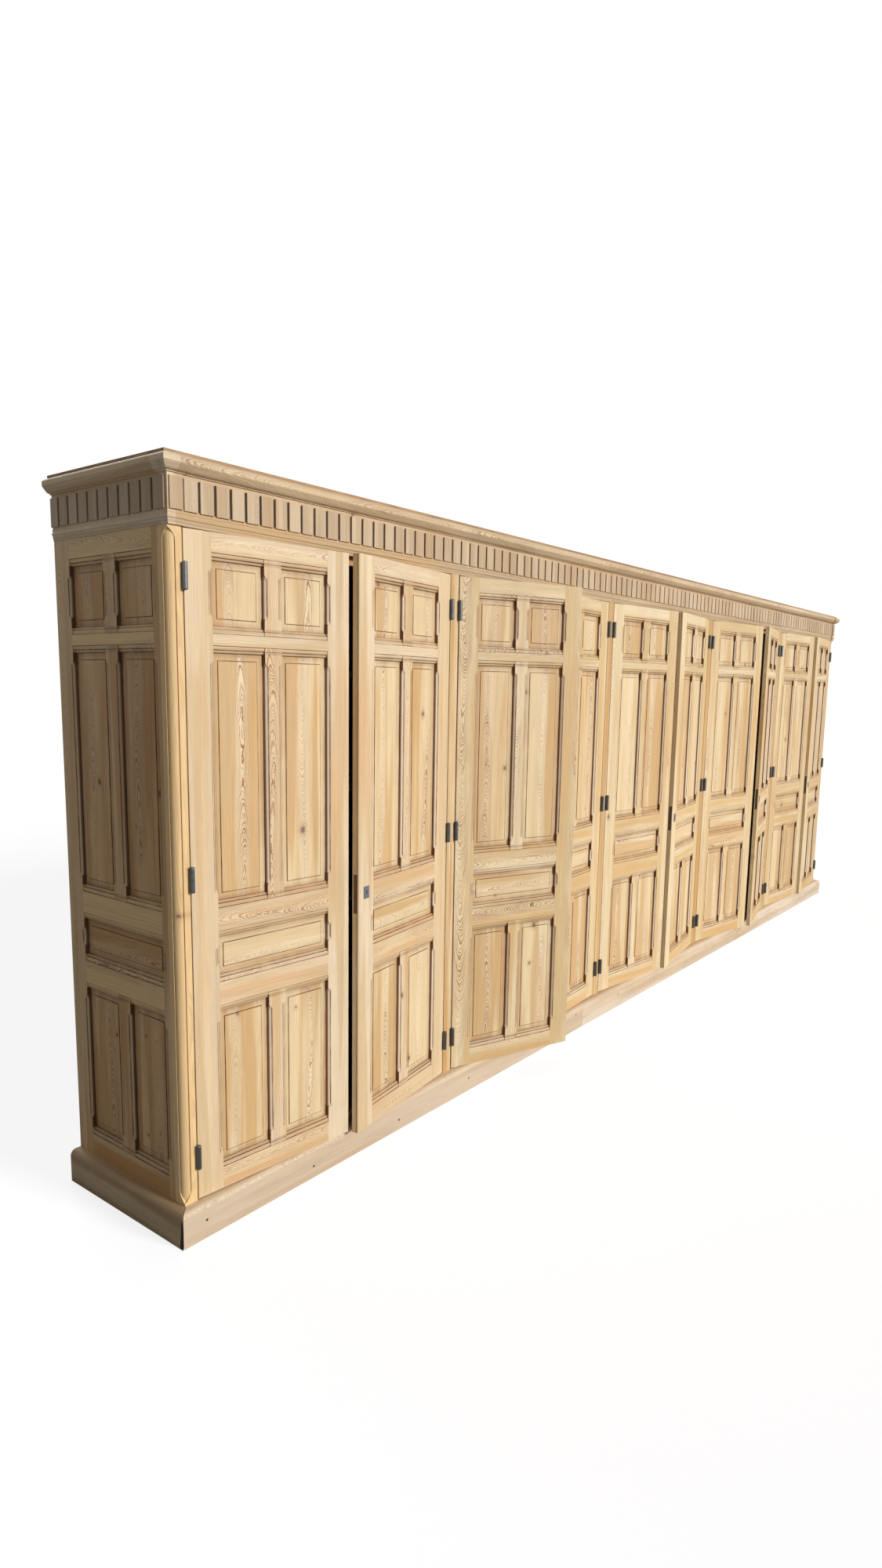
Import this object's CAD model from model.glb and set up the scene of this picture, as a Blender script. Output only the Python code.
# %% [markdown]
# # A long pine apothecary cupboard
# The cupboard is one run of ten panelled doors under a frieze of small upright tablets.
# Its solids, their sizes and their joints come from the CAD model, which is loaded first and
# never changed. This lesson adds what the eye sees: stripped and waxed pine with its grain
# running the right way in every board, dark steel hinges, screws and nails, light and a camera.

# %% Load the frame
import math

import bpy
from mathutils import Matrix, Vector


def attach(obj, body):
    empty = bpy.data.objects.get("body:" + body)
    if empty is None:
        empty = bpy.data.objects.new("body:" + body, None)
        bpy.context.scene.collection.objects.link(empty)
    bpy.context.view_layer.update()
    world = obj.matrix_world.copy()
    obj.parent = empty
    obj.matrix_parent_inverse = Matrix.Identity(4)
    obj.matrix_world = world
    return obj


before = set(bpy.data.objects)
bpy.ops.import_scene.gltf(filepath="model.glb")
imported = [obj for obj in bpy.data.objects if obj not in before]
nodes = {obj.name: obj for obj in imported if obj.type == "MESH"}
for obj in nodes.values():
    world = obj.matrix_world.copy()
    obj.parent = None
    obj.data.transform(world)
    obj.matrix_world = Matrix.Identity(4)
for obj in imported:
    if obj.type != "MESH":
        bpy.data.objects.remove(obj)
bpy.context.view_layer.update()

# %% [markdown]
# The camera was solved from the straight edges of the case, so it is given as a place and
# three directions. The lens is wide, as on a phone held upright, and the small shift keeps
# uprights as they stand in the photograph.

# %% Camera
scene = bpy.context.scene


def put(name, data):
    """A new object in the scene."""
    made = bpy.data.objects.new(name, data)
    scene.collection.objects.link(made)
    return made


camera_at = Vector((-4.2254, -2.1876, 1.49385))
camera_right = Vector((0.61739, -0.78649, 0.01602)).normalized()
camera_ahead = Vector((0.77958, 0.60899, -0.14627)).normalized()
camera_up = camera_right.cross(camera_ahead).normalized()

sensor_mm, focal_px, photo_h = 36, 1161.516, 2000
camera_data = bpy.data.cameras.new("camera")
camera_data.sensor_width = sensor_mm
camera_data.lens = sensor_mm * focal_px / photo_h
camera_data.shift_x = 0.0004
camera_data.shift_y = 0.0244
camera_data.clip_end = 100
camera = put("camera", camera_data)
turn = Matrix((camera_right, camera_up, -camera_ahead)).transposed()
camera.matrix_world = Matrix.Translation(camera_at) @ turn.to_4x4()
bpy.context.scene.camera = camera
scene.view_settings.view_transform = "Standard"
print("lens", round(camera_data.lens, 2), "mm")

# %% [markdown]
# Every material below is a graph of nodes. One function adds a node: it takes the node's
# kind, the values or links of its inputs in order, and its settings by name. Colours are
# written as sRGB hex, as a paint chart gives them, and one function turns them to linear.

# %% Two helpers for materials
def linear(hex_colour):
    """An sRGB hex colour as a linear colour with alpha."""
    parts = [int(hex_colour[i:i + 2], 16) / 255 for i in (1, 3, 5)]
    light = [c / 12.92 if c <= 0.04045 else ((c + 0.055) / 1.055) ** 2.4 for c in parts]
    return (*light, 1)


def add(tree, kind, *values, out=0, named=None, op=None, **settings):
    """Add a node, set it and link it; gives one of its outputs, or all of them for out=None."""
    new = tree.nodes.new(kind)
    if op:
        new.operation = op
    for key, value in settings.items():
        setattr(new, key, value)
    by_name = [(new.inputs[key], value) for key, value in (named or {}).items()]
    for socket, value in list(zip(new.inputs, values)) + by_name:
        if isinstance(value, bpy.types.NodeSocket):
            tree.links.new(value, socket)
        elif value is not None:
            socket.default_value = value
    return new.outputs[out] if out is not None and new.outputs else new.outputs


MATH, VECTOR, MIX = "ShaderNodeMath", "ShaderNodeVectorMath", "ShaderNodeMix"
NOISE, RANGE = "ShaderNodeTexNoise", "ShaderNodeMapRange"
SPLIT, JOIN = "ShaderNodeSeparateXYZ", "ShaderNodeCombineXYZ"
SMOOTH = {"interpolation_type": "SMOOTHSTEP"}
print("middle grey is", round(linear("#808080")[0], 3), "in linear light")

# %% [markdown]
# A helper starts a group of nodes with named inputs and outputs, so that the wood's figure
# is worked out once and used by every pine.

# %% Start a node group
def start_group(name, inputs, outputs, kind="ShaderNodeTree"):
    """A node group with its sockets; gives the group and the sockets of what comes in."""
    group = bpy.data.node_groups.new(name, kind)
    for way, sockets in (("INPUT", inputs), ("OUTPUT", outputs)):
        for label, holds, *value in sockets:
            socket = group.interface.new_socket(label, in_out=way, socket_type="NodeSocket" + holds)
            if value:
                socket.default_value = value[0]
    return group, group.nodes.new("NodeGroupInput").outputs


# %% [markdown]
# Pine shows its growth rings as lines: soft pale wood grown in spring, then a narrow hard
# orange-brown line grown in summer. A flat-sawn board cuts those rings at a glancing angle.
# Down the middle of the cut they make a narrow column of stacked arches, and beside it the
# lines run straight and so close together that they hardly show. For the arches, a ring's
# number rises with the square of the distance from the column, and slowly along the board.
# For the straight lines it rises with the distance alone. Rings in this wood are 2 to 4 mm
# apart; the straight ones are drawn 6 mm apart, so that they show at the picture's size.
# Noise does the rest. It is drawn out along the board, so its stretch is given as cells per
# metre across, through and along the board.

# %% The figure of pine: where the arches are
def stretched_noise(tree, place, stretch, out=0, **inputs):
    """Noise drawn out along a board, with the noise's own inputs by name."""
    place = add(tree, VECTOR, place, stretch, op="MULTIPLY")
    return add(tree, NOISE, place, out=out, named={"Scale": 1.0, **inputs})


# The usual figure; a look may have its own values
figure_of = {"Ring": 0.0034, "Curve": 0.012, "Lean": 0.22, "Column": 0.022, "Stray": 0.17,
             "Sides": 0.45, "Knots": 0.1}
figure, into = start_group(
    "pine_figure",
    [("Board", "Vector"), ("Piece", "Vector"), *[(label, "Float") for label in figure_of]],
    [("Late", "Float"), ("Soft", "Float"), ("Fibre", "Float"), ("Streak", "Float"),
     ("Knot", "Float"), ("Halo", "Float"), ("Tone", "Float"), ("Chance", "Color")])
board, piece = into["Board"], into["Piece"]
# Columns of arches repeat at twice this width, in metres
column_wrap = 0.085
# How far apart two boards' places in the noise may lie
shift_reach = (7.3, 5.1, 9.7)
chance = add(figure, "ShaderNodeTexWhiteNoise", piece, out="Color")
shift = add(figure, VECTOR, chance, shift_reach, op="MULTIPLY")
place = add(figure, VECTOR, board, shift, op="ADD")
wander = stretched_noise(figure, place, (2.2, 2.2, 2.6), out="Color", Detail=2.0)
wander = add(figure, VECTOR, wander, (-0.5, -0.5, -0.5), op="ADD")
wander = add(figure, VECTOR, wander, (0.06, 0.10, 0), op="MULTIPLY")
log = add(figure, VECTOR, board, wander, op="ADD")
log_x, log_y, log_z = add(figure, SPLIT, log, out=None)
chance_x, chance_y, chance_z = add(figure, SPLIT, chance, out=None)
stray = add(figure, MATH, chance_x, -0.5, op="ADD")
start = add(figure, MATH, stray, into["Stray"], log_x, op="MULTIPLY_ADD")
across = add(figure, MATH, start, column_wrap, -column_wrap, op="WRAP")
off_column = add(figure, MATH, across, op="ABSOLUTE")
bow = add(figure, MATH, across, across, op="MULTIPLY")
bow = add(figure, MATH, bow, into["Curve"], op="DIVIDE")
bow = add(figure, MATH, bow, 0.5, log_y, op="MULTIPLY_ADD")
# The arches point up in some boards and down in others, and never lie level
turn_of = add(figure, RANGE, chance_y, 0.0, 1.0, -1.0, 1.0)
sign = add(figure, MATH, turn_of, op="SIGN")
sign = add(figure, MATH, sign, 0.4, op="MULTIPLY")
lean = add(figure, MATH, turn_of, 0.6, sign, op="MULTIPLY_ADD")
lean = add(figure, MATH, lean, into["Lean"], op="MULTIPLY")
radius = add(figure, MATH, log_z, lean, bow, op="MULTIPLY_ADD")
print("nodes that place the arches", len(figure.nodes))

# %% [markdown]
# Where a branch left the trunk there is a knot: a dark round core with a red-brown halo, and
# the rings flow around it. The knots are the points of a cell pattern, one for each stretch
# of board, and only some of the cells have one.

# %% The figure of pine: knots
# A cell's size in metres. Its length is shortened for the reach, so knots are longer than wide
knot_cell = (0.15, 1.0, 0.46)
knot_reach = (0.15, 0, 0.38)
smallest_knot, widest_knot = 0.0045, 0.0095
cell_place = add(figure, VECTOR, place, knot_cell, op="DIVIDE")
cell_place = add(figure, VECTOR, cell_place, (1, 0, 1), op="MULTIPLY")
cells = add(figure, "ShaderNodeTexVoronoi", cell_place, out=None,
            named={"Scale": 1.0, "Randomness": 0.8})
offset = add(figure, VECTOR, cell_place, cells["Position"], op="SUBTRACT")
offset = add(figure, VECTOR, offset, knot_reach, op="MULTIPLY")
knot_far = add(figure, VECTOR, offset, out="Value", op="LENGTH")
ragged = add(figure, NOISE, place, named={"Scale": 90.0, "Detail": 2.0})
knot_far = add(figure, MATH, ragged, 0.006, knot_far, op="MULTIPLY_ADD")
luck = add(figure, SPLIT, cells["Color"], out=None)
has_knot = add(figure, MATH, luck[0], into["Knots"], op="LESS_THAN")
knot_size = add(figure, RANGE, luck[1], 0.0, 1.0, smallest_knot, widest_knot)
knot_size = add(figure, MATH, knot_size, has_knot, op="MULTIPLY")
nearness = add(figure, MATH, knot_size, knot_far, op="DIVIDE")
knot = add(figure, RANGE, nearness, 0.72, 1.02, 0.0, 1.0, **SMOOTH)
halo = add(figure, RANGE, nearness, 0.22, 0.8, 0.0, 1.0, **SMOOTH)
flow = add(figure, MATH, nearness, 1.2, op="MINIMUM")
flow = add(figure, MATH, flow, 0.022, radius, op="MULTIPLY_ADD")
print("knots about every", knot_cell[2] * 1000, "mm along a board, where there are any")

# %% [markdown]
# The rings are then made uneven: some years are wide and some narrow, and each summer line
# is a little darker or paler than the last. The spring side of a line fades in and its
# outer side stops sharply.

# %% The figure of pine: uneven years
def product(tree, first, *others):
    """All the values multiplied; of masks, 1 only where every one of them is."""
    for other in others:
        first = add(tree, MATH, first, other, op="MULTIPLY")
    return first


def summer_line(distance, ring):
    """A 0 to 1 line in each ring's width, each year with its own darkness."""
    count = add(figure, MATH, distance, ring, op="DIVIDE")
    phase = add(figure, MATH, count, op="FRACT")
    year = add(figure, MATH, count, op="FLOOR")
    chance = add(figure, "ShaderNodeTexWhiteNoise", named={"W": year}, noise_dimensions="1D")
    dark = add(figure, RANGE, chance, 0.0, 1.0, 0.40, 1.0)
    rising = add(figure, RANGE, phase, 0.28, 0.74, 0.0, 1.0, **SMOOTH)
    falling = add(figure, RANGE, phase, 0.88, 1.0, 1.0, 0.0)
    return product(figure, rising, falling, dark)


tremble = stretched_noise(figure, place, (60, 60, 30), Detail=4.0, Roughness=0.7)
uneven = add(figure, MATH, tremble, 0.011, flow, op="MULTIPLY_ADD")
years = add(figure, MATH, uneven, 60.0, op="MULTIPLY")
years = add(figure, NOISE, named={"W": years, "Scale": 1.0, "Detail": 1.0}, noise_dimensions="1D")
uneven = add(figure, MATH, years, 0.010, uneven, op="MULTIPLY_ADD")
arches = summer_line(uneven, into["Ring"])
print("nodes for the arches", len(figure.nodes))

# %% [markdown]
# The straight lines beside the column come in bundles. Some boards show their figure boldly
# and some hardly at all.

# %% The figure of pine: straight lines
straight_ring = 0.006
sway = stretched_noise(figure, place, (9, 9, 2.2), Detail=3.0)
straight = add(figure, MATH, sway, 0.035, off_column, op="MULTIPLY_ADD")
straight = add(figure, MATH, nearness, 0.004, straight, op="MULTIPLY_ADD")
sides = summer_line(straight, straight_ring)

edge_of = add(figure, MATH, off_column, into["Column"], op="DIVIDE")
edge_of = add(figure, MATH, tremble, 0.9, edge_of, op="MULTIPLY_ADD")
in_column = add(figure, RANGE, edge_of, 1.1, 1.9, 1.0, 0.0, **SMOOTH)
faint = stretched_noise(figure, place, (12, 12, 3.4), Detail=1.0)
bold = add(figure, RANGE, faint, 0.36, 0.58, 0.35, 1.0, **SMOOTH)
board_bold = add(figure, RANGE, chance_z, 0.1, 0.6, 0.5, 1.0)
streak = stretched_noise(figure, place, (60, 60, 1.4), Detail=3.0, Roughness=0.6)
bundle = add(figure, RANGE, streak, 0.44, 0.62, 0.1, 1.0, **SMOOTH)
arches = add(figure, MATH, arches, bold, op="MULTIPLY")
sides = product(figure, sides, into["Sides"], bundle)
late = add(figure, MIX, in_column, named={2: sides, 3: arches})
late = add(figure, MATH, late, board_bold, op="MULTIPLY")
print("straight rings", straight_ring * 1000, "mm apart")

# %% [markdown]
# Two more noises finish the figure: fibres, drawn coarser than real ones so that they show at
# all, and the slow change of tone along a board.

# %% The figure of pine: fibres and tone
fibre = stretched_noise(figure, place, (420, 420, 9), Detail=3.0, Roughness=0.65)
tone = stretched_noise(figure, place, (17, 17, 0.9), Detail=1.5)
add(figure, "NodeGroupOutput",
    named={"Late": late, "Soft": in_column, "Fibre": fibre, "Streak": streak, "Knot": knot,
           "Halo": halo, "Tone": tone, "Chance": chance})
print("figure nodes", len(figure.nodes))

# %% [markdown]
# One surface serves every pine in the cupboard, with its own colours. Paint was stripped
# from this wood and it was waxed, so it is pale and has a soft sheen; the hard summer lines
# stand a hair above the worn spring wood. Old wax and paint stay dark in corners and grooves.
# The colours lie over each other like coats, each let through by a mask.

# %% Coats of colour
old_paint, rubbed, black = "#6A3318", "#FFEFD0", "#0D0A08"
halo_brown, knot_grey, dry_grey, spring_pale = "#B27B4A", "#6E6866", "#C3AD8E", "#F6E4BF"
print("old paint", old_paint, "and bare wood", rubbed)


def paint_over(tree, colour, *coats):
    """Lay coats over a colour: each is a 0 to 1 mask, or None for no coat, and a hex colour."""
    for mask, coat in coats:
        if mask is not None:
            colour = add(tree, MIX, mask, out=2, data_type="RGBA",
                         named={6: colour, 7: linear(coat)})
    return colour


# %% The surface of waxed pine
def pine_surface(material, board, piece, look, grooves=None, worn=None, hole=None):
    """Pine from a board's own coordinates; grooves, worn and hole are 0 to 1 masks."""
    tree = material.node_tree
    sizes = {label: look.get(label, usual) for label, usual in figure_of.items()}
    out = add(tree, "ShaderNodeGroup", out=None, node_tree=figure,
              named={"Board": board, "Piece": piece, **sizes})
    chance_x, _, chance_z = add(tree, SPLIT, out["Chance"], out=None)

    mood = add(tree, MATH, chance_z, 0.20, out["Tone"], op="MULTIPLY_ADD")
    heartwood = add(tree, RANGE, mood, 0.56, 0.66, 0.0, 0.8, **SMOOTH)
    boards = look.get("boards", 0.35)
    heartwood = add(tree, MATH, chance_x, boards, heartwood, op="MULTIPLY_ADD")
    stain = stretched_noise(tree, board, (13, 13, 0.9), Detail=3.0)
    stain = add(tree, RANGE, stain, 0.46, 0.68, 0.0, 0.75, **SMOOTH)
    grey = stretched_noise(tree, board, (9, 9, 4), Detail=4.0, Roughness=0.6)
    grey = add(tree, RANGE, grey, 0.50, 0.72, 0.0, 0.28)
    post = None
    if "front" in look:  # the corner post at the front of an end is paler
        post = add(tree, SPLIT, board, out=None)[0]
        post = add(tree, RANGE, post, look["front_from"], look["front_from"] + 0.004, 0.0, 0.85)
    soft = product(tree, out["Soft"], 0.45, look["lines"])
    strength = add(tree, MATH, out["Late"], look["lines"], op="MULTIPLY")
    colour = paint_over(
        tree, linear(look["pale"]), (heartwood, look["deep"]), (stain, look["warm"]),
        (grey, dry_grey), (post, look.get("front")), (soft, look.get("light", spring_pale)),
        (strength, look["line"]))
    weave = add(tree, RANGE, out["Fibre"], 0.3, 0.7, 0.90, 1.06)
    streaks = add(tree, RANGE, out["Streak"], 0.3, 0.7, 0.90, 1.06)
    weave = add(tree, MATH, weave, streaks, op="MULTIPLY")
    colour = add(tree, VECTOR, colour, named={3: weave}, op="SCALE")
    warm = add(tree, MATH, out["Halo"], 0.5, op="MULTIPLY")
    core = add(tree, MATH, out["Knot"], 0.85, op="MULTIPLY")
    colour = paint_over(
        tree, colour, (warm, halo_brown), (core, look.get("knot", knot_grey)), (worn, rubbed),
        (grooves, look.get("groove", old_paint)), (hole, black))

    relief = add(tree, MATH, out["Late"], 0.4, out["Fibre"], op="MULTIPLY_ADD")
    bump = add(tree, "ShaderNodeBump",
               named={"Strength": 0.5, "Distance": 0.0003, "Height": relief})
    rough = look.get("rough", 0.58)
    sheen = add(tree, RANGE, out["Late"], 0.0, 1.0, rough, rough - 0.12)
    shader = add(tree, "ShaderNodeBsdfPrincipled", colour,
                 named={"Roughness": sheen, "IOR": 1.45, "Normal": bump})
    add(tree, "ShaderNodeOutputMaterial", shader)


# %% [markdown]
# A look is a set of colours and of strengths. Each piece of the cupboard has its own, because
# light, hands and scraping have changed its pine in another way.

# %% Dress a node, and the first two looks
def new_material(name):
    material = bpy.data.materials.new(name)
    material.use_nodes = True
    material.node_tree.nodes.clear()
    return material


def dress(node_name, material):
    """Give a CAD node's object a material in place of its plain one."""
    mesh = nodes[node_name].data
    mesh.materials.clear()
    mesh.materials.append(material)


# Hue and contrast of each pine: pale and deep wood, the summer line, and its strength
door_look = {"pale": "#F2DFBE", "deep": "#E0C498", "warm": "#DFB581", "line": "#A8652E",
             "lines": 0.95, "stiles": 0.60, "boards": 0.85, "Knots": 0.05}
panel_look = {"pale": "#F0D9AC", "deep": "#D8B37E", "warm": "#D6A766", "line": "#9A561F",
              "lines": 1.0, "Curve": 0.009, "Lean": 0.28, "Column": 0.017, "Stray": 0.06,
              "Sides": 0.30, "Knots": 0.42}
print("share of cells with a knot", door_look["Knots"], "and in panels", panel_look["Knots"])

# %% [markdown]
# A door is framed: two uprights run its whole height, five rails lie between them, and
# three short uprights divide the rows of panels. Grain follows the long way of each piece,
# and the cross panel lies on its side. The next group is given a place on a door and tells
# which piece is there, which way its grain runs, and how far it is to the panel's edge.

# %% Which piece of a door is it
# Middle and half height of the four rows of panels, and the middles of the rails between them
row_mid = (0.397, 0.7675, 1.2465, 1.722)
row_half = (0.216, 0.0525, 0.3265, 0.082)
rail_mid = (0.664, 0.870, 1.6065)
muntin_half = 0.028
moulding = 0.018

layout, into = start_group(
    "framed_leaf",
    [("Place", "Vector"), ("Near", "Float"), ("Far", "Float"), ("Leaf", "Float")],
    [("Frame board", "Vector"), ("Frame piece", "Vector"), ("Panel board", "Vector"),
     ("Panel piece", "Vector"), ("Side", "Float"), ("Height", "Float"), ("Between", "Float")])
u, v, z = add(layout, SPLIT, into["Place"], out=None)
near_edge, far_edge = into["Near"], into["Far"]
row = (row_mid[0], row_half[0], 0)
for k, rail in enumerate(rail_mid):
    above = add(layout, MATH, z, rail, op="GREATER_THAN")
    step = (row_mid[k + 1] - row_mid[k], row_half[k + 1] - row_half[k], 1)
    row = add(layout, VECTOR, above, step, row, op="MULTIPLY_ADD")
own_mid, own_half, row_number = add(layout, SPLIT, row, out=None)
from_row = add(layout, MATH, z, own_mid, op="SUBTRACT")
off_row = add(layout, MATH, from_row, op="ABSOLUTE")
height = add(layout, MATH, own_half, off_row, op="SUBTRACT")

both = add(layout, MATH, near_edge, far_edge, op="ADD")
middle = add(layout, MATH, both, 0.5, op="MULTIPLY")
from_middle = add(layout, MATH, u, middle, op="SUBTRACT")
off_middle = add(layout, MATH, from_middle, op="ABSOLUTE")
span = add(layout, MATH, far_edge, near_edge, op="SUBTRACT")
half_span = add(layout, MATH, span, 0.5, op="MULTIPLY")
panel_half = add(layout, MATH, span, 0.25, -muntin_half / 2, op="MULTIPLY_ADD")
panel_mid = add(layout, MATH, panel_half, muntin_half, op="ADD")
is_cross = add(layout, MATH, row_number, 1.0, 0.1, op="COMPARE")
off_panel = add(layout, MATH, off_middle, panel_mid, op="SUBTRACT")
off_panel = add(layout, MATH, off_panel, op="ABSOLUTE")
side_pair = add(layout, MATH, panel_half, off_panel, op="SUBTRACT")
side_cross = add(layout, MATH, half_span, off_middle, op="SUBTRACT")
side = add(layout, MIX, is_cross, named={2: side_pair, 3: side_cross})
print("rows of panels", len(row_mid))

# %% [markdown]
# The frame's pieces are told apart by where they lie, and each gets three numbers that stand
# for it. Those numbers pick where in its log it was cut. A panel is one wide board, so its
# place is measured from its own middle, and the column of arches stays near that middle.

# %% Numbers for the pieces of a door
on_stile = add(layout, MATH, off_middle, half_span, op="GREATER_THAN")
right = add(layout, MATH, from_middle, 0.0, op="GREATER_THAN")
up = add(layout, MATH, from_row, 0.0, op="GREATER_THAN")
rail_number = add(layout, MATH, row_number, up, op="ADD")
in_muntin = add(layout, MATH, off_middle, muntin_half, op="LESS_THAN")
in_reach = add(layout, MATH, height, -moulding, op="GREATER_THAN")
not_cross = add(layout, MATH, 1.0, is_cross, op="SUBTRACT")
in_muntin = product(layout, in_muntin, in_reach, not_cross)
upright = add(layout, MATH, on_stile, in_muntin, op="MAXIMUM")

standing = add(layout, JOIN, u, v, z)
lying = add(layout, JOIN, z, v, u)
frame_board = add(layout, MIX, upright, out=1, data_type="VECTOR", named={4: lying, 5: standing})
stile_number = add(layout, MATH, right, 20.0, 20.0, op="MULTIPLY_ADD")
muntin_number = add(layout, MATH, row_number, 10.0, op="ADD")
middle_number = add(layout, MIX, in_muntin, named={2: rail_number, 3: muntin_number})
frame_number = add(layout, MIX, on_stile, named={2: middle_number, 3: stile_number})
frame_piece = add(layout, JOIN, into["Leaf"], frame_number, 3.0)

right_sign = add(layout, MATH, right, 2.0, -1.0, op="MULTIPLY_ADD")
own_middle = add(layout, MATH, right_sign, panel_mid, op="MULTIPLY")
from_own = add(layout, MATH, from_middle, own_middle, op="SUBTRACT")
panel_standing = add(layout, JOIN, from_own, v, z)
panel_lying = add(layout, JOIN, from_row, v, u)
panel_board = add(layout, MIX, is_cross, out=1, data_type="VECTOR",
                  named={4: panel_standing, 5: panel_lying})
side_number = add(layout, MATH, right, not_cross, op="MULTIPLY")
panel_number = add(layout, MATH, side_number, 5.0, row_number, op="MULTIPLY_ADD")
panel_piece = add(layout, JOIN, into["Leaf"], panel_number, 7.0)
between = add(layout, MATH, 1.0, on_stile, op="SUBTRACT")
add(layout, "NodeGroupOutput",
    named={"Frame board": frame_board, "Frame piece": frame_piece, "Panel board": panel_board,
           "Panel piece": panel_piece, "Side": side, "Height": height, "Between": between})
print("layout nodes", len(layout.nodes))

# %% [markdown]
# Dark lines follow every change of level: the two steps of the moulding on each rail, the
# corner where a panel meets its frame, and the edge of the panel's raised field. They are
# old wax and paint that no scraper reached. Each line is a narrow band of the distance to
# the panel's edge, and a coarse noise makes it come and go.

# %% Lines of old wax
field_edge, arris_at = 0.0195, -0.0088


def line_at(tree, distance, at, width):
    """A soft 0 to 1 band where a distance is near a value."""
    off = add(tree, MATH, distance, at, op="SUBTRACT")
    off = add(tree, MATH, off, op="ABSOLUTE")
    return add(tree, RANGE, off, 0.0, width, 1.0, 0.0, **SMOOTH)


def panel_lines(tree, side, height):
    """Dark in a panel's corner with its frame and at its field's edge, and grime between."""
    edge = add(tree, MATH, side, height, op="MINIMUM")
    corner = line_at(tree, edge, 0.0, 0.0045)
    field = line_at(tree, edge, field_edge, 0.0026)
    grime = add(tree, RANGE, edge, 0.0, 0.020, 0.40, 0.0, **SMOOTH)
    lines = add(tree, MATH, corner, field, op="MAXIMUM")
    return add(tree, MATH, lines, grime, op="MAXIMUM")


def frame_lines(tree, side, height, between):
    """Dark on the steps and the hollow of a rail's moulding, and beside the long chamfers."""
    step = line_at(tree, height, -moulding, 0.0018)
    toe = line_at(tree, height, -0.007, 0.0020)
    grime = add(tree, RANGE, height, -moulding, 0.0, 0.05, 0.35)
    on_mould = add(tree, MATH, height, -moulding / 2, moulding / 2, op="COMPARE")
    grime = add(tree, MATH, grime, on_mould, op="MULTIPLY")
    lines = add(tree, MATH, step, toe, op="MAXIMUM")
    lines = add(tree, MATH, lines, grime, op="MAXIMUM")
    lines = add(tree, MATH, lines, between, op="MULTIPLY")
    arris = line_at(tree, side, arris_at, 0.0030)
    unstopped = add(tree, RANGE, height, 0.024, 0.034, 0.0, 1.0)
    arris = add(tree, MATH, arris, unstopped, op="MULTIPLY")
    return add(tree, MATH, lines, arris, op="MAXIMUM")


# %% [markdown]
# The walls of the openings are told by where they face. A wall looks sideways and is dark,
# and a chamfer looks half sideways and is rubbed pale by hands.

# %% Walls and chamfers of a frame
def wall_and_chamfer(tree, facing, side, height):
    sideways = add(tree, SPLIT, facing, out=None)[0]
    sideways = add(tree, MATH, sideways, op="ABSOLUTE")
    wall = add(tree, RANGE, sideways, 0.55, 0.65, 0.0, 0.9)
    inner = add(tree, RANGE, side, -0.0040, -0.0022, 0.0, 1.0)
    in_row = add(tree, RANGE, height, -0.002, 0.0, 0.0, 1.0)
    wall = product(tree, wall, inner, in_row)
    chamfer = add(tree, MATH, sideways, math.sqrt(0.5), 0.12, op="COMPARE")
    outer = add(tree, RANGE, side, -0.0115, -0.0100, 0.0, 0.8)
    return wall, add(tree, MATH, chamfer, outer, op="MULTIPLY")


# %% [markdown]
# One function now makes the pine of any framed leaf. The wood that shows through a keyhole
# plate is black, because the CAD model's keyholes are cut through their plates only.

# %% Pine for a framed leaf
hole_half = (0.012, 0.017)


def leaf_material(name, place, facing, edges, leaf, look, is_panel, keyhole=None):
    """Pine for a leaf; place turns object coordinates into its own, leaf is its number."""
    material = new_material(name)
    tree = material.node_tree
    here = place(tree)
    leaf = leaf(tree) if callable(leaf) else leaf
    plan = add(tree, "ShaderNodeGroup", out=None, node_tree=layout,
               named={"Place": here, "Near": edges[0], "Far": edges[1], "Leaf": leaf})
    side, height, between = plan["Side"], plan["Height"], plan["Between"]
    comes = add(tree, NOISE, here, named={"Scale": 14.0, "Detail": 3.0})
    comes = add(tree, RANGE, comes, 0.28, 0.58, 0.48, 0.95)
    worn = hole = None
    lines = (panel_lines(tree, side, height) if is_panel
             else frame_lines(tree, side, height, between))
    grooves = add(tree, MATH, lines, comes, op="MULTIPLY")
    if not is_panel:
        wall, chamfer = wall_and_chamfer(tree, facing(tree), side, height)
        grooves = add(tree, MATH, grooves, wall, op="MAXIMUM")
        worn = add(tree, MATH, chamfer, look.get("worn", 1.0), op="MULTIPLY")
        strength = add(tree, RANGE, between, 0.0, 1.0, look["stiles"], look["lines"])
        look = dict(look, lines=strength)
    if keyhole:
        across, _, up = add(tree, SPLIT, here, out=None)
        across = add(tree, MATH, across, keyhole[0], hole_half[0], op="COMPARE")
        up = add(tree, MATH, up, keyhole[1], hole_half[1], op="COMPARE")
        hole = add(tree, MATH, across, up, op="MULTIPLY")
    kind = "Panel" if is_panel else "Frame"
    pine_surface(material, plan[kind + " board"], plan[kind + " piece"], look, grooves, worn, hole)
    return material


# %% [markdown]
# The ten doors stand ajar by different angles, so each has its own turn from object
# coordinates to the door's own: across from the pin, inwards from its face, and up. A
# Mapping node of the Texture kind undoes a place, a turn and a mirroring in one step.

# %% Where the doors stand
case_x0, face_y = -2.845, -0.2575
post_w = 0.0415
pin_proud, pin_gap = 0.008, 0.0015
pin_y = face_y - pin_proud
bay_open, bay_pitch = 1.087, 1.130
door_edges = (0.08, 0.459)
ajar = (5, 8.5, 20.7, 4, 6.8, 8.8, 9.4, 12.5, 5, 7)
plate_u, plate_z, plate_v = 0.4985, 0.870, 0.0065


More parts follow.
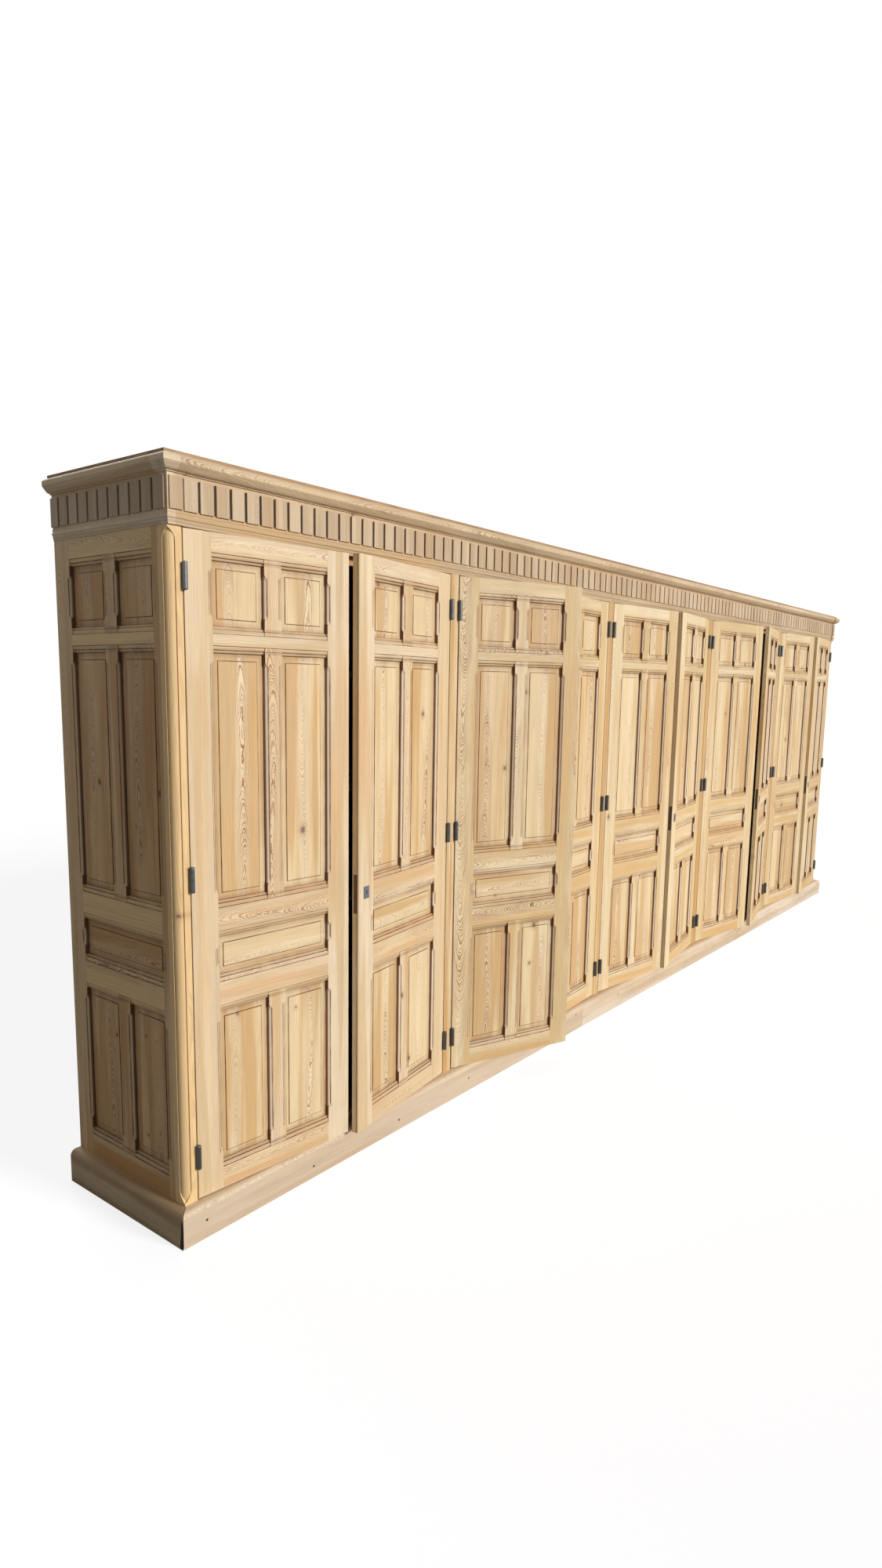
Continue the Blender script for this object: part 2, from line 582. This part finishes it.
def door_corner(n):
    """A door's side, its pin's x, its turn and its front corner beside the pin."""
    side = 1 if n % 2 else -1
    bay_x = case_x0 + post_w + (n - 1) // 2 * bay_pitch
    pin_x = bay_x + pin_gap if side > 0 else bay_x + bay_open - pin_gap
    angle = -side * math.radians(ajar[n - 1])
    corner = Matrix.Rotation(angle, 3, "Z") @ Vector((side * pin_gap, pin_proud, 0))
    return side, pin_x, angle, corner + Vector((pin_x, pin_y, 0))


def door_place(n):
    """Two functions that add nodes: one for the place on door n, one for where its wood faces."""
    side, _, angle, corner = door_corner(n)

    def undo(tree, coordinates, start):
        given = add(tree, "ShaderNodeTexCoord", out=coordinates)
        return add(tree, "ShaderNodeMapping", given, start, (0, 0, angle), (side, 1, 1),
                   vector_type="TEXTURE")

    return (lambda tree: undo(tree, "Object", corner),
            lambda tree: undo(tree, "Normal", (0, 0, 0)))


# %% [markdown]
# The first two doors were made of plain straight wood, and the third of boldly figured wood.
# A door's number picks the log that it came from. Three were chosen, so that arches lie off
# the first two doors' stiles and on the third's.

# %% Pine for the doors
plain_door = dict(door_look, stiles=0.22)
gold_door = dict(door_look, pale="#F2DFB8", deep="#DFC28E", warm="#DDB47A")
bold_door = dict(gold_door, stiles=1.0, line="#8C5826", Column=0.030, Curve=0.016, Lean=0.30)
door_looks = {1: plain_door, 2: plain_door, 3: bold_door}
door_logs = {1: 1.5, 2: 2.7, 3: 3.7}
for n in range(1, 11):
    place, facing = door_place(n)
    keyhole = None if n % 2 else (plate_u - pin_gap, plate_z)
    frame_pine = leaf_material(f"waxed_pine_door_{n}", place, facing, door_edges,
                               door_logs.get(n, n), door_looks.get(n, gold_door), False,
                               keyhole)
    dress(f"door_{n}_frame", frame_pine)
    panel_pine = leaf_material(f"waxed_pine_panels_{n}", place, facing, door_edges, n + 0.5,
                               panel_look, True)
    dress(f"door_{n}_panels", panel_pine)
print("doors dressed", len(ajar))

# %% [markdown]
# The two ends are framed like the doors. They are mirror images, so the place on them is
# measured from the nearer end, and the sign of x tells the two apart.

# %% Pine for the ends
end_edges = (0.072, 0.449)
end_look = dict(door_look, pale="#E2C596", deep="#C8A06E", warm="#BE8E54", line="#85531F",
                stiles=0.8, light="#E6CA9C", worn=0.15, groove="#40230F", front="#F2CF96",
                front_from=0.472)
end_panel_look = dict(panel_look, pale="#E2BC89", deep="#C59963", warm="#B47D41", line="#6A3A14",
                      light="#ECCB9A", Knots=0.5, knot="#3A2C24", groove="#40230F", Sides=0.85,
                      Column=0.024)


def parts_of(tree, coordinates):
    """The x, y and z of Object or Normal coordinates."""
    given = add(tree, "ShaderNodeTexCoord", out=coordinates)
    return add(tree, SPLIT, given, out=None)


def end_place(tree):
    x, y, z = parts_of(tree, "Object")
    forward = add(tree, MATH, -face_y, y, op="SUBTRACT")
    out_x = add(tree, MATH, x, op="ABSOLUTE")
    inward = add(tree, MATH, -case_x0, out_x, op="SUBTRACT")
    return add(tree, JOIN, forward, inward, z)


def which_end(tree):
    right = add(tree, MATH, parts_of(tree, "Object")[0], 0.0, op="GREATER_THAN")
    return add(tree, MATH, right, 30.0, op="ADD")


def end_facing(tree):
    x, y, z = parts_of(tree, "Normal")
    return add(tree, JOIN, y, x, z)


end_pine = leaf_material("waxed_pine_ends", end_place, end_facing, end_edges, which_end,
                         end_look, False)
dress("end_frames", end_pine)
end_panel_pine = leaf_material("waxed_pine_end_panels", end_place, end_facing, end_edges,
                               which_end, end_panel_look, True)
dress("end_panels", end_panel_pine)
print("ends dressed", 2)

# %% [markdown]
# Everything else is plain boards. Each is told by a block of a regular grid, as wide and as
# long as the boards are, and its grain runs along one axis. A helper takes the axis that the
# grain follows and the size of a block.

# %% Pine for plain boards
end_reach = 0.05


def board_material(name, along, block, offset, look, ends_along_y=None, marks=None):
    """Pine for boards whose grain follows an axis; a block is one board's size in metres.

    With no offset, block holds the x where boards of uneven lengths meet.
    """
    material = new_material(name)
    tree = material.node_tree
    here = add(tree, "ShaderNodeTexCoord", out="Object")
    x, y, z = add(tree, SPLIT, here, out=None)
    turned = {"x": (z, y, x), "y": (z, x, y), "z": (x, y, z), "flat": (y, z, x)}
    board = add(tree, JOIN, *turned[along])
    if ends_along_y is not None:
        behind = add(tree, MATH, y, ends_along_y, op="GREATER_THAN")
        out_x = add(tree, MATH, x, op="ABSOLUTE")
        at_end = add(tree, MATH, out_x, -case_x0 - end_reach, op="GREATER_THAN")
        turns = add(tree, MATH, behind, at_end, op="MULTIPLY")
        end_board = add(tree, JOIN, *turned["y"])
        board = add(tree, MIX, turns, out=1, data_type="VECTOR", named={4: board, 5: end_board})
    if offset is None:
        count = 0.0
        for cut in block:
            past = add(tree, MATH, x, cut, op="GREATER_THAN")
            count = add(tree, MATH, past, count, op="ADD")
        piece = add(tree, JOIN, count, 0.0, 5.0)
    else:
        moved = add(tree, VECTOR, here, offset, op="ADD")
        piece = add(tree, VECTOR, moved, block, op="DIVIDE")
        piece = add(tree, VECTOR, piece, op="FLOOR")
    pine_surface(material, board, piece, look, marks(tree, x, y, z) if marks else None)
    return material


# %% [markdown]
# Four of them also have marks of their own, each a mask from x, y and z. Those of the frieze
# are the gaps between its tablets, and browner tablets on the ends.

# %% Marks on the frieze
def tablet_gaps(tree, x, y, z):
    """Dark between the tablets, as high as they are, but not at the corners or the rear ends."""
    low, high, rear, fade = 1.911, 1.987, 0.2572, 0.002
    corner_x, corner_y, clean = 2.847, -0.2645, 0.009
    above = add(tree, RANGE, z, low, low + fade, 0.0, 0.95)
    below = add(tree, RANGE, z, high - fade, high, 1.0, 0.0)
    before = add(tree, RANGE, y, rear - fade, rear, 1.0, 0.0)
    out_x = add(tree, MATH, x, op="ABSOLUTE")
    out_x = add(tree, RANGE, out_x, corner_x - clean, corner_x - clean + fade, 0.0, 1.0)
    out_y = add(tree, RANGE, y, corner_y + clean - fade, corner_y + clean, 1.0, 0.0)
    corner = add(tree, MATH, out_x, out_y, op="MULTIPLY")
    band = add(tree, MATH, 1.0, corner, op="SUBTRACT")
    return product(tree, band, above, below, before)


def dark_ends(tree, x, y, z):
    """Browner at the ends of the cupboard, up to the mitre with its front."""
    out_x = add(tree, MATH, x, op="ABSOLUTE")
    out_x = add(tree, MATH, out_x, case_x0, op="ADD")
    out_y = add(tree, MATH, face_y, y, op="SUBTRACT")
    end = add(tree, MATH, out_x, out_y, op="GREATER_THAN")
    return add(tree, MATH, end, 0.32, op="MULTIPLY")


# %% [markdown]
# The corner joint of the plinth has opened, and the nails of the back have rusted.

# %% Marks on the plinth and the back
def open_mitre(tree, x, y, z):
    """The plinth's front mitre has opened: black at the very corner, wider towards the floor."""
    top, fade = 0.088, 0.0008
    reach = add(tree, RANGE, z, 0.0, top, -0.2775, -0.2865)
    inside = add(tree, MATH, reach, y, op="SUBTRACT")
    dark = add(tree, RANGE, inside, 0.0, fade, 0.0, 1.0)
    low = add(tree, RANGE, z, top - 0.010, top - 0.002, 1.0, 0.0)
    return add(tree, MATH, dark, low, op="MULTIPLY")


def nail_spots(tree, x, y, z):
    """Rusty nail heads, two in each back board at every shelf, flush, so only a colour."""
    board_w, first_x, row_pitch, first_z, apart = 0.1882, 2.823, 0.3554, 0.107, 0.06
    across = add(tree, MATH, x, first_x - board_w / 2, op="ADD")
    across = add(tree, MATH, across, board_w / 2, -board_w / 2, op="WRAP")
    across = add(tree, MATH, across, op="ABSOLUTE")
    across = add(tree, MATH, across, apart, op="SUBTRACT")
    up = add(tree, MATH, z, first_z, op="SUBTRACT")
    up = add(tree, MATH, up, row_pitch / 2, -row_pitch / 2, op="WRAP")
    off = add(tree, JOIN, across, up, 0.0)
    away = add(tree, VECTOR, off, out="Value", op="LENGTH")
    head = add(tree, RANGE, away, 0.0030, 0.0038, 1.0, 0.0)
    stain = add(tree, RANGE, away, 0.003, 0.016, 0.45, 0.0)
    return add(tree, MATH, head, stain, op="MAXIMUM")


# %% [markdown]
# The case is a little darker than the doors. The inside was never stripped or waxed, so it has
# kept the brown of old bare pine.

# %% Looks of the plain boards
case_look = dict(door_look, pale="#E8D5B4", deep="#D3B48B", warm="#CFAB7A", line="#94653A",
                 lines=0.85)
stile_look = dict(door_look, pale="#E2C28E", deep="#CFA469", warm="#D29F5F", Knots=0.0)
neck_look = dict(case_look, pale="#DFCDB0", deep="#C6AE8B")
tablet_look = dict(door_look, pale="#D8C1A0", deep="#C4AA87", warm="#C2A17A", line="#94704A",
                   lines=0.5, light="#D6BE9C", boards=0.35, Knots=0.0, groove="#3A2614")
plinth_look = dict(door_look, pale="#E6D6C0", deep="#D6BFA2", warm="#CCB08E", line="#9A7858",
                   lines=0.6, Knots=0.08, rough=0.7)
plinth_end_look = dict(plinth_look, pale="#BDA37E", deep="#A2845C", warm="#97774C",
                       groove="#120C08")
inside_look = dict(door_look, pale="#CDA878", deep="#B68D5E", warm="#A97C4A", line="#7C5029",
                   lines=0.75, light="#D8B486", rough=0.75, Knots=0.3)
dust_look = dict(inside_look, pale="#C6A57C", deep="#A5835C", light="#C9A981")
frieze_look = dict(case_look, groove="#1C130D")
print("pale wood outside", case_look["pale"], "and inside", inside_look["pale"])

# %% [markdown]
# In this table each node has the axis of its grain, its block, the block's offset and its look.
# Mouldings that turn the corner also have the y behind which their lengths run along y.

# %% Blocks of the plain boards
# far is longer than the cupboard; start_x puts the blocks' edges in the middles of the stiles
far, start_x = 50.0, 2.825
long_boards = (2 * bay_pitch, far, far)
plain_boards = {
    "plinth_front": ("x", (-0.742, 1.126), None, plinth_look),
    "plinth_ends": ("y", (3.0, far, far), (0, 1, 1), plinth_end_look),
    "bay_stiles": ("z", (bay_pitch, far, far), (bay_pitch / 2, 1, 1), stile_look),
    "necking_bead": ("x", long_boards, (start_x, 1, 1), neck_look, -0.236),
    "frieze_boards": ("x", long_boards, (start_x, 1, 1), frieze_look, -0.236),
    "cornice": ("x", long_boards, (start_x, 1, 1), case_look, -0.212),
    "frieze_tablets": ("z", (0.0491, 0.0473, far), (-case_x0, 2.0085, 1), tablet_look),
    "dust_boards": ("flat", (2 * bay_pitch, 0.176, far), (start_x, 0.2695, 1), dust_look),
    "back_boards": ("z", (0.188, far, far), (2.823, 1, 1), inside_look),
    "partitions": ("z", (bay_pitch, 0.16, far), (start_x, 1, 1), inside_look),
    "shelves": ("flat", (bay_pitch, 0.22, 0.368), (start_x, 1, 0), inside_look),
    "shelf_cleats": ("y", (0.5, far, 0.368), (start_x, 1, 0), inside_look),
    "floor_boards": ("flat", (bay_pitch, 0.13, far), (start_x, 1, 0), inside_look),
    "ceiling_boards": ("flat", (bay_pitch, 0.13, far), (start_x, 1, 0), inside_look),
    "stop_rails": ("x", (bay_pitch, far, far), (start_x, 1, 0), inside_look),
    "head_rails": ("x", (far, 0.3, 0.12), (0, 0.3, 0.0), inside_look),
    "floor_bearers": ("x", (far, 0.3, far), (0, 0.3, 0), inside_look),
}
marks_of = {"frieze_boards": tablet_gaps, "frieze_tablets": dark_ends,
            "plinth_ends": open_mitre, "back_boards": nail_spots}
for node_name, board in plain_boards.items():
    pine = board_material("pine_" + node_name, *board, marks=marks_of.get(node_name))
    dress(node_name, pine)
print("plain boards dressed", len(plain_boards))

# %% [markdown]
# The hinges are turned steel barrels gone dark grey with age. Handling has polished them a
# little, so they still catch a bright streak, and rust has browned them in patches. The
# keyhole plates are rubbed brighter than the hinges, so the faces that look forward at the
# height of the locks are lighter, and the lock fronts in the doors' edges are brown with age.

# %% Old dark steel
plate_half, lock_half = 0.021, 0.085
old_steel = new_material("old_dark_steel")
tree = old_steel.node_tree
here = add(tree, "ShaderNodeTexCoord", out="Object")
height = parts_of(tree, "Object")[2]
normal_x, normal_y, _ = parts_of(tree, "Normal")
patches = add(tree, NOISE, here, named={"Scale": 70.0, "Detail": 5.0, "Roughness": 0.65})
speckle = add(tree, NOISE, here, named={"Scale": 420.0, "Detail": 2.0})
rust = add(tree, RANGE, patches, 0.50, 0.68, 0.0, 0.8)
forward = add(tree, MATH, normal_y, -0.8, op="LESS_THAN")
plate = add(tree, MATH, height, plate_z, plate_half, op="COMPARE")
plate = product(tree, plate, forward, 0.7)
sideways = add(tree, MATH, normal_x, op="ABSOLUTE")
sideways = add(tree, MATH, sideways, 0.8, op="GREATER_THAN")
lock_front = add(tree, MATH, height, plate_z, lock_half, op="COMPARE")
lock_front = product(tree, lock_front, sideways, 0.75)
colour = paint_over(tree, linear("#696B6E"), (rust, "#4A3A2E"), (plate, "#8F969D"),
                    (lock_front, "#5A4634"))
metal = add(tree, RANGE, patches, 0.50, 0.68, 0.85, 0.4)
rough = add(tree, RANGE, speckle, 0.3, 0.7, 0.30, 0.52)
pits = add(tree, "ShaderNodeBump", named={"Strength": 0.3, "Distance": 0.0002, "Height": speckle})
shader = add(tree, "ShaderNodeBsdfPrincipled", colour,
             named={"Metallic": metal, "Roughness": rough, "Normal": pits})
add(tree, "ShaderNodeOutputMaterial", shader)
for node_name in nodes:
    if node_name == "hinge_pins" or node_name.endswith(("ironwork", "bolt")):
        dress(node_name, old_steel)

# %% [markdown]
# Three countersunk screws hold every hinge plate, four pins every keyhole plate, and nails
# the plinth. One tree of Geometry Nodes makes them all. A head is a low disc whose top falls
# towards its rim, and a slot is cut out of it.

# %% One head
heads, given = start_group(
    "heads_on_points",
    [("Points", "Geometry"), ("Diameter", "Float", 0.0062), ("Rise", "Float", 0.0004),
     ("Slot", "Float", 0.0008), ("Seed", "Int")],
    [("Heads", "Geometry")], "GeometryNodeTree")
radius = add(heads, MATH, given["Diameter"], 0.5, op="MULTIPLY")
thick = add(heads, MATH, given["Rise"], 2.0, op="MULTIPLY")
disc = add(heads, "GeometryNodeMeshCylinder", out="Mesh",
           named={"Vertices": 20, "Fill Segments": 2, "Radius": radius, "Depth": thick})
spot = add(heads, "GeometryNodeInputPosition")
from_middle = add(heads, VECTOR, spot, (1, 1, 0), op="MULTIPLY")
from_middle = add(heads, VECTOR, from_middle, out="Value", op="LENGTH")
slope = add(heads, MATH, from_middle, radius, op="DIVIDE")
slope = add(heads, MATH, slope, 2.0, op="POWER")
slope = product(heads, slope, given["Rise"], -0.6)
drop = add(heads, JOIN, 0.0, 0.0, slope)
spot_z = add(heads, SPLIT, spot, out=None)[2]
on_top = add(heads, "FunctionNodeCompare", spot_z, 0.0, op="GREATER_THAN")
dome = add(heads, "GeometryNodeSetPosition", disc, named={"Selection": on_top, "Offset": drop})
long = add(heads, MATH, given["Diameter"], 1.2, op="MULTIPLY")
cutter_size = add(heads, JOIN, long, given["Slot"], given["Rise"])
cutter = add(heads, "GeometryNodeMeshCube", cutter_size, out="Mesh")
lift = add(heads, JOIN, 0.0, 0.0, given["Rise"])
cutter = add(heads, "GeometryNodeTransform", cutter, named={"Translation": lift})
slotted = add(heads, "GeometryNodeMeshBoolean", out="Mesh", op="DIFFERENCE", solver="EXACT",
              named={"Mesh 1": dome, "Mesh 2": cutter})
has_slot = add(heads, "FunctionNodeCompare", given["Slot"], 0.0, op="GREATER_THAN")
head = add(heads, "GeometryNodeSwitch", named={"Switch": has_slot, "False": dome, "True": slotted},
           input_type="GEOMETRY")
print("nodes for one head", len(heads.nodes))

# %% [markdown]
# The tree then puts a head on each point of a cloud, turns it to face along a stored direction,
# gives it the point's own size, and turns its slot by a random angle from a fixed seed.

# %% Heads on points
facing = add(heads, "GeometryNodeInputNamedAttribute", "facing", data_type="FLOAT_VECTOR")
aligned = add(heads, "FunctionNodeAlignRotationToVector", named={"Vector": facing}, axis="Z")
size = add(heads, "GeometryNodeInputNamedAttribute", "size")
placed = add(heads, "GeometryNodeInstanceOnPoints", given["Points"],
             named={"Instance": head, "Rotation": aligned, "Scale": size})
spin = add(heads, "FunctionNodeRandomValue", out=1,
           named={2: 0.0, 3: math.pi, "Seed": given["Seed"]})
spin = add(heads, JOIN, 0.0, 0.0, spin)
placed = add(heads, "GeometryNodeRotateInstances", placed,
             named={"Rotation": spin, "Local Space": True})
solid = add(heads, "GeometryNodeRealizeInstances", placed)
solid = add(heads, "GeometryNodeSetMaterial", solid, named={"Material": old_steel})
add(heads, "NodeGroupOutput", solid)
print("head nodes", len(heads.nodes))

# %% [markdown]
# Blender works the tree out once for each cloud, and the plain mesh that it gives is kept. The
# mesh rides a body as the solids do, so that a door's screws swing with it.

# %% From a cloud to a mesh
def add_heads(name, points, body, **sizes):
    """Heads on (place, direction, size) points as one plain mesh that rides a body."""
    cloud = bpy.data.meshes.new(name)
    cloud.from_pydata([place for place, _, _ in points], [], [])
    ways = cloud.attributes.new("facing", "FLOAT_VECTOR", "POINT")
    ways.data.foreach_set("vector", [c for _, way, _ in points for c in way])
    sizes_of = cloud.attributes.new("size", "FLOAT", "POINT")
    sizes_of.data.foreach_set("value", [size for _, _, size in points])
    source = put(name + "_points", cloud)
    modifier = source.modifiers.new("heads", "NODES")
    modifier.node_group = heads
    for item in heads.interface.items_tree:
        if item.in_out == "INPUT" and item.name in sizes:
            modifier[item.identifier] = sizes[item.name]
    evaluated = source.evaluated_get(bpy.context.evaluated_depsgraph_get())
    made = bpy.data.meshes.new_from_object(evaluated)
    source.modifiers.clear()
    bpy.data.objects.remove(source)
    made.name = name
    for label in ("facing", "size"):
        if label in made.attributes:
            made.attributes.remove(made.attributes[label])
    piece = put(name, made)
    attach(piece, body)
    return len(made.polygons)


# %% [markdown]
# The clouds of points come from the sizes of the hinges: a plate's screws lie in a triangle on
# the face that looks at the pin. Each door has its own cloud, turned with the door, and the
# case has one for its half of every hinge.

# %% Screws, pins and nails
hinge_z = (0.225, 0.991, 1.757)
screw_spots = ((0.024, -0.021), (0.014, 0.0), (0.024, 0.021))
plate_face = 0.001
pins_across, pins_up = 0.0105, 0.0155
nail_x0, nail_pitch, nail_z, nail_sway, plinth_face = -2.80, 0.4, 0.052, 0.018, -0.2915

case_points = []
faces = 0
for n in range(1, 11):
    side, pin_x, angle, _ = door_corner(n)
    turn = Matrix.Rotation(angle, 3, "Z")
    pin = Vector((pin_x, pin_y, 0))
    door_points = []
    for z in hinge_z:
        for v, up in screw_spots:
            case_points.append(((pin_x - side * plate_face, pin_y + v, z + up), (side, 0, 0), 1.0))
            at = turn @ Vector((side * plate_face, v, z + up)) + pin
            door_points.append((at, turn @ Vector((-side, 0, 0)), 1.0))
    if side < 0:
        for across in (-pins_across, pins_across):
            for up in (-pins_up, pins_up):
                at = turn @ Vector((side * (plate_u + across), plate_v, plate_z + up)) + pin
                door_points.append((at, turn @ Vector((0, -1, 0)), 0.5))
    faces += add_heads(f"door_{n}_screws", door_points, f"door_{n}", Seed=n)
faces += add_heads("case_screws", case_points, "carcass", Seed=20)
nail_points = [((nail_x0 + nail_pitch * k, plinth_face, nail_z + nail_sway * math.sin(5.3 * k)),
                (0, -1, 0), 1.0) for k in range(15)]
faces += add_heads("plinth_nails", nail_points, "carcass", Diameter=0.0075, Rise=0.0003,
                   Slot=0.0, Seed=21)
print("heads", len(case_points), "on the case,", faces, "faces in all")

# %% [markdown]
# The room is left out. The floor is plain and pale, and its own colour, seen only by camera
# rays, lifts it to white where no shadow falls. The sky is white too.

# %% Floor and sky
floor_mesh = bpy.data.meshes.new("floor")
floor_mesh.from_pydata([(-40, -40, 0), (40, -40, 0), (40, 40, 0), (-40, 40, 0)], [], [(0, 1, 2, 3)])
floor = put("floor", floor_mesh)
floor_paint = new_material("pale_floor")
tree = floor_paint.node_tree
rays = add(tree, "ShaderNodeLightPath", out=None)
matt = add(tree, "ShaderNodeBsdfDiffuse", linear("#9C9C9F"))
glow = add(tree, MATH, rays["Is Camera Ray"], 0.80, op="MULTIPLY")
lift = add(tree, "ShaderNodeEmission", (1, 1, 1, 1), glow)
both = add(tree, "ShaderNodeAddShader", matt, lift)
add(tree, "ShaderNodeOutputMaterial", both)
floor_mesh.materials.append(floor_paint)

world = bpy.data.worlds.new("studio")
world.use_nodes = True
scene.world = world
tree = world.node_tree
tree.nodes.clear()
rays = add(tree, "ShaderNodeLightPath", out=None)
seen = add(tree, MATH, rays["Is Camera Ray"], rays["Is Glossy Ray"],
           op="MAXIMUM")
power = add(tree, MIX, seen, named={2: 0.20, 3: 1.0})
sky = add(tree, "ShaderNodeBackground", (1, 1, 1, 1), power)
add(tree, "ShaderNodeOutputWorld", sky)
print("world", world.name)

# %% [markdown]
# One wide soft sun from the front right stands for the window, so that the left end is in
# shade as in the photograph, and a weaker one behind and the sky fill in. A broad studio panel
# low in front lifts the middle doors towards their feet.

# %% Lamps
def add_lamp(name, kind, toward, energy, colour, **settings):
    """A lamp that stands in a direction from what it lights; settings are its kind's own."""
    data = bpy.data.lights.new(name, kind)
    data.energy, data.color = energy, colour
    for key, value in settings.items():
        setattr(data, key, value)
    lamp = put(name, data)
    lamp.rotation_euler = Vector(toward).to_track_quat("Z", "Y").to_euler()
    return lamp


# A sun of strength pi shows a colour as it is written, on a surface that faces the sun
add_lamp("window", "SUN", (0.20, -0.92, 0.34), 0.93 * math.pi, (1, 0.976, 0.965),
         angle=math.radians(14))
add_lamp("back_fill", "SUN", (0.25, 0.9, 0.35), 0.40 * math.pi, (0.97, 0.98, 1),
         angle=math.radians(40))
low_panel = add_lamp("low_panel", "AREA", (0.1, -1.0, -0.02), 5.5, (1, 0.98, 0.94),
                     shape="RECTANGLE", size=2.4, size_y=0.8)
low_panel.location = (0.5, -2.0, 0.5)
low_panel.visible_camera = False
print("lamps", len(bpy.data.lights))
